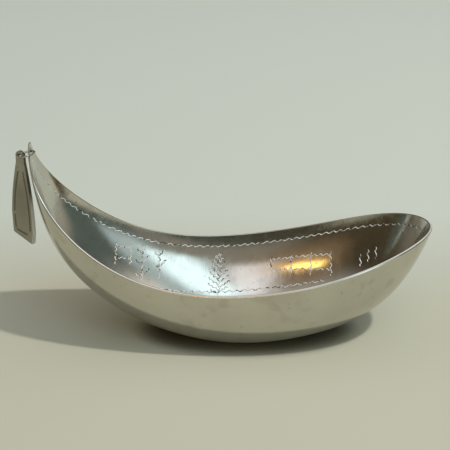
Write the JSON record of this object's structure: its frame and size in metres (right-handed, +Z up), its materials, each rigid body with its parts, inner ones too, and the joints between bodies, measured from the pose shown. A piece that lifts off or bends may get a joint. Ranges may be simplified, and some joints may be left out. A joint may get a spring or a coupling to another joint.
{
  "type": "pewter sauce boat",
  "caption": "Boat-shaped pewter serving bowl formed as one sheet, with a drawn-up pierced tip that carries a jump ring and a hanging pendant plate.",
  "frame": {"origin": "centre of the flat face under the hull that the boat rests on", "axes": "+X along the boat from the drawn-up tip to the rounded end, +Z up, Y across the boat"},
  "size_m": [0.2764, 0.1042, 0.133],
  "materials": {
    "pewter_sheet": "brushed pewter, lightly aged, with fine polishing lines",
    "pewter_wire": "bright drawn pewter wire",
    "pewter_plate": "darkened satin pewter with bright edges"
  },
  "bodies": {
    "bowl": {"bowl": "pewter_sheet"},
    "ring": {"jump_ring": "pewter_wire"},
    "pendant": {"pendant": "pewter_plate"}
  },
  "joints": [
    {"name": "ring_swing", "type": "hinge", "parent": "bowl", "child": "ring", "pos_m": [-0.13048, 0, 0.12793], "axis": [0, 1, 0], "range_deg": [0, 35]},
    {"name": "pendant_swing", "type": "hinge", "parent": "ring", "child": "pendant", "pos_m": [-0.13646, -0.0025, 0.12655], "axis": [-0.4872, -0.866, -0.1125], "range_deg": [-70, 7]}
  ]
}
